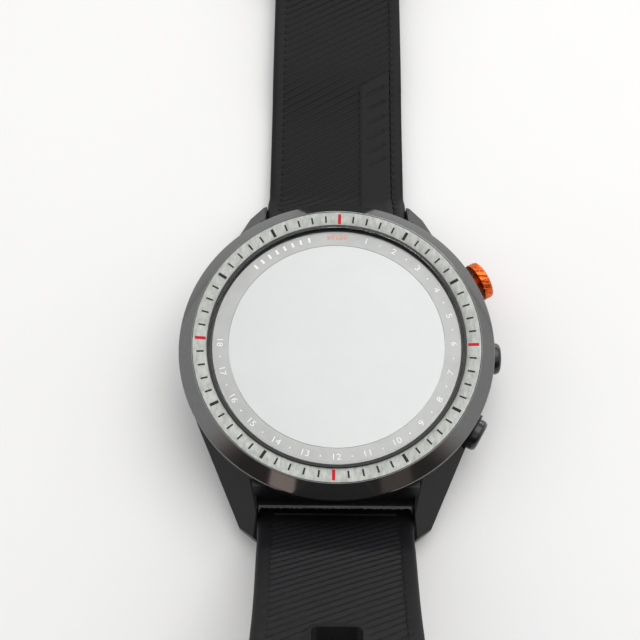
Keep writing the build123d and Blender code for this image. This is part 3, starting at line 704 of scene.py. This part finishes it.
def build_lens():
    """Clear pane with a bevelled rim, standing a little proud of the scale."""
    outline = [(0, LENS_TOP), (12, LENS_TOP), (LENS_R - 0.62, LENS_TOP), (LENS_R - 0.5, LENS_TOP - 0.03),
               (LENS_R - 0.06, LENS_TOP - 0.34), (LENS_R - 0.01, LENS_TOP - 0.42), (LENS_R - 0.01, MASK_TOP + 0.06),
               (0, MASK_TOP + 0.06)]
    obj = disc_stack("lens_clear", outline, LENS_GLASS, 288)
    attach(obj, "case")
    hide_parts("lens")


def build_border():
    """Black band under the rim of the lens: partly the dark seal, partly painted shade standing in for the dark side
    wall of the proud lens.
    """
    outline = [(18.42, MASK_TOP - 0.02), (LENS_R - 0.02, MASK_TOP - 0.02), (LENS_R - 0.02, MASK_TOP + 0.03),
               (18.42, MASK_TOP + 0.03)]
    # The black of this ring is partly painted shade: it widens the dark seal to stand in for the shaded side wall of
    # the lens.
    obj = revolved("lens_border_painted_shade", outline, RUBBER, 288)
    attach(obj, "case")


def text_faces(text, size, matrix, points, faces):
    """Add the flat shape of a short text, placed by a matrix, to a list of points and faces."""
    curve = bpy.data.curves.new("digits", "FONT")
    curve.body = text
    curve.size = size
    curve.align_x = "CENTER"
    curve.align_y = "CENTER"
    curve.extrude = 0.01
    curve.resolution_u = 3
    obj = bpy.data.objects.new("digits", curve)
    bpy.context.scene.collection.objects.link(obj)
    depsgraph = bpy.context.evaluated_depsgraph_get()
    mesh = bpy.data.meshes.new_from_object(obj.evaluated_get(depsgraph))
    start = len(points)
    points += [tuple(matrix @ v.co) for v in mesh.vertices]
    faces += [tuple(start + i for i in polygon.vertices) for polygon in mesh.polygons]
    bpy.data.objects.remove(obj)
    bpy.data.curves.remove(curve)
    bpy.data.meshes.remove(mesh)


def build_dial_print():
    """Hole numbers 1 to 18 clockwise, dots between them, and plain marks in the upper left."""
    points, faces = [], []
    top = MASK_TOP + 0.012
    for n in range(1, 19):
        angle = math.radians(15 * n)
        spin = -angle if n <= 6 else math.pi - angle
        place = Vector((17.35 * math.sin(angle), 17.35 * math.cos(angle), top))
        matrix = Matrix.Translation(place) @ Matrix.Rotation(spin, 4, "Z") @ Matrix.Scale(1.2, 4, (1, 0, 0))
        text_faces(str(n), 1.28, matrix, points, faces)
        if n < 18:
            radial_bar(points, faces, angle + math.radians(7.5), 17.25, 17.45, 0.2, MASK_TOP, top)
    for k in range(8):
        radial_bar(points, faces, math.radians(-45 + 4.4 * k), 17.0, 17.8, 0.34, MASK_TOP, top)
    numbers = mesh_object("hole_numbers", points, faces, PRINT_WHITE)
    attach(numbers, "case")
    points, faces = [], []
    for k in range(-2, 3):
        radial_bar(points, faces, math.radians(2.2 * k), 17.05, 17.75, 0.42, MASK_TOP, top)
    mark = mesh_object("start_mark", points, faces, PRINT_RED)
    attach(mark, "case")


def build_crown():
    """Orange button with slanting grooves round its rim and a shallow dish in its face."""
    out = Vector((math.cos(CROWN_ANGLE), math.sin(CROWN_ANGLE), 0))
    side = Vector((-out.y, out.x, 0))
    up = Vector((0, 0, 1))
    rows = [(STEM_END, STEM_R, 0), (CROWN_INNER, STEM_R, 0), (CROWN_INNER, CROWN_R - 0.26, 0),
            (CROWN_INNER + 0.03, CROWN_R - 0.06, 1), (CROWN_INNER + 0.12, CROWN_R, 1)]
    rows += [(CROWN_INNER + 0.12 + 0.15 * k, CROWN_R, 1) for k in range(1, 8)]
    rows += [(CROWN_OUTER - 0.07, CROWN_R - 0.08, 0.5), (CROWN_OUTER, CROWN_R - 0.24, 0),
             (CROWN_OUTER, CROWN_R - 0.6, 0), (CROWN_OUTER - 0.09, CROWN_R - 0.8, 0), (CROWN_OUTER - 0.09, 0.5, 0)]
    segments = CROWN_GROOVES * 14
    points = []
    for reach, r, grooved in rows:
        for i in range(segments):
            phase = (CROWN_GROOVES * i / segments + (CROWN_INNER - reach) * CROWN_TWIST) % 1.0
            groove = max(0.0, 1 - abs(phase - 0.5) / 0.15)
            radius = r - CROWN_DEPTH * grooved * groove
            a = 2 * math.pi * i / segments
            points.append(tuple(out * reach + side * radius * math.cos(a) + up * (CROWN_Z + radius * math.sin(a))))
    faces = []
    for k in range(len(rows) - 1):
        for i in range(segments):
            j = (i + 1) % segments
            faces.append((k * segments + i, k * segments + j, (k + 1) * segments + j, (k + 1) * segments + i))
    faces.append(tuple(range(segments)))
    faces.append(tuple(range((len(rows) - 1) * segments, len(rows) * segments))[::-1])
    obj = mesh_object("crown", points, faces, ORANGE, 30)
    outward_normals(obj)
    finish_shading(obj, 30)
    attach(obj, "button_top")
    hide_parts("button_top")


# ================================ stage ================================
def build_stage():
    """White table, overhead soft box and a light tent that is open and dark at the front."""
    size = 5.0
    mesh = bpy.data.meshes.new("floor")
    mesh.from_pydata([(-size, -size, 0), (size, -size, 0), (size, size, 0), (-size, size, 0)], [], [(0, 1, 2, 3)])
    floor = bpy.data.objects.new("floor", mesh)
    bpy.context.scene.collection.objects.link(floor)
    floor.location.z = -0.02 * MM
    white = surface("table_white", (0.80, 0.80, 0.80), (0.815, 0.815, 0.815), (0.75, 0.85), 60.0)
    mesh.materials.append(white)

    light = bpy.data.lights.new("soft_box", "AREA")
    light.shape = "RECTANGLE"
    light.size = 0.50
    light.size_y = 0.46
    light.energy = 1.5
    light.color = (1.0, 0.995, 0.985)
    box = bpy.data.objects.new("soft_box", light)
    bpy.context.scene.collection.objects.link(box)
    box.location = (0.13, 0.20, 0.50)
    box.rotation_euler = (Vector((0, 0.01, 0.01)) - box.location).to_track_quat("-Z", "Y").to_euler()

    world = bpy.data.worlds.new("tent")
    bpy.context.scene.world = world
    world.use_nodes = True
    nodes, links = world.node_tree.nodes, world.node_tree.links
    where = nodes.new("ShaderNodeTexCoord")
    split = nodes.new("ShaderNodeSeparateXYZ")
    links.new(where.outputs["Generated"], split.inputs[0])

    def ramp(value, low, high, start, end):
        node = nodes.new("ShaderNodeMapRange")
        node.interpolation_type = "SMOOTHSTEP"
        for socket, number in (("From Min", low), ("From Max", high), ("To Min", start), ("To Max", end)):
            node.inputs[socket].default_value = number
        links.new(value, node.inputs["Value"])
        return node.outputs["Result"]

    def combine(operation, a, b):
        node = nodes.new("ShaderNodeMath")
        node.operation = operation
        links.new(a, node.inputs[0])
        links.new(b, node.inputs[1])
        return node.outputs[0]

    def pulse(value, rise, fall, soft):
        up = ramp(value, rise, rise + soft, 0.0, 1.0)
        return combine("MULTIPLY", up, ramp(value, fall, fall + soft, 1.0, 0.0))

    front = ramp(split.outputs["Y"], -0.22, -0.68, 0.0, 1.0)
    low_down = ramp(split.outputs["Z"], 0.62, 0.85, 1.0, 0.0)
    dark = combine("MULTIPLY", front, low_down)
    window = combine("MULTIPLY", pulse(split.outputs["X"], -0.52, -0.33, 0.03),
                     pulse(split.outputs["Z"], 0.34, 0.52, 0.03))
    doorway = combine("MULTIPLY", pulse(split.outputs["X"], 0.34, 0.56, 0.05),
                      pulse(split.outputs["Z"], 0.30, 0.56, 0.05))
    shapes = combine("ADD", ramp(window, 0.0, 1.0, 0.06, 0.95), ramp(doorway, 0.0, 1.0, 0.0, 0.20))
    tent = ramp(dark, 0.0, 1.0, 0.95, 0.0)
    back = combine("MULTIPLY", pulse(split.outputs["X"], -0.12, 0.60, 0.08),
                   ramp(split.outputs["Y"], 0.1, 0.3, 0.0, 8.0))
    strip = combine("MULTIPLY", back, pulse(split.outputs["Z"], 0.0, 0.09, 0.02))
    total = combine("ADD", combine("ADD", tent, combine("MULTIPLY", dark, shapes)), strip)
    links.new(total, nodes["Background"].inputs["Strength"])
    tint = nodes.new("ShaderNodeMix")
    tint.data_type = "RGBA"
    tint.inputs["A"].default_value = (1.0, 1.0, 1.0, 1)
    tint.inputs["B"].default_value = (1.0, 0.80, 0.72, 1)
    links.new(dark, tint.inputs["Factor"])
    links.new(tint.outputs["Result"], nodes["Background"].inputs["Color"])


def build_camera():
    """Camera over the 6 o'clock side, tilted towards the dial."""
    camera = bpy.data.cameras.new("camera")
    camera.sensor_width = 36.0
    camera.lens = 1100 / 640 * 36.0
    camera.clip_start = 0.01
    obj = bpy.data.objects.new("camera", camera)
    bpy.context.scene.collection.objects.link(obj)
    turn = (Matrix.Rotation(math.radians(22.2), 4, "X") @ Matrix.Rotation(math.radians(0.28), 4, "Y")
            @ Matrix.Rotation(math.radians(0.45), 4, "Z"))
    obj.matrix_world = Matrix.Translation(Vector((-1.7, -58.4, 165.3)) * MM) @ turn
    bpy.context.scene.camera = obj


build_camera()
build_stage()
dress_cad_nodes()
build_bezel()
build_scale()
build_lens()
build_border()
build_dial_print()
build_crown()
build_upper_strap()
build_lower_strap()
build_keeper("fixed_keeper_loop", "keeper_fixed", "strap_upper_far")
build_keeper("sliding_keeper_loop", "keeper_sliding", "keeper_sliding")

bpy.context.scene.view_settings.view_transform = "Standard"
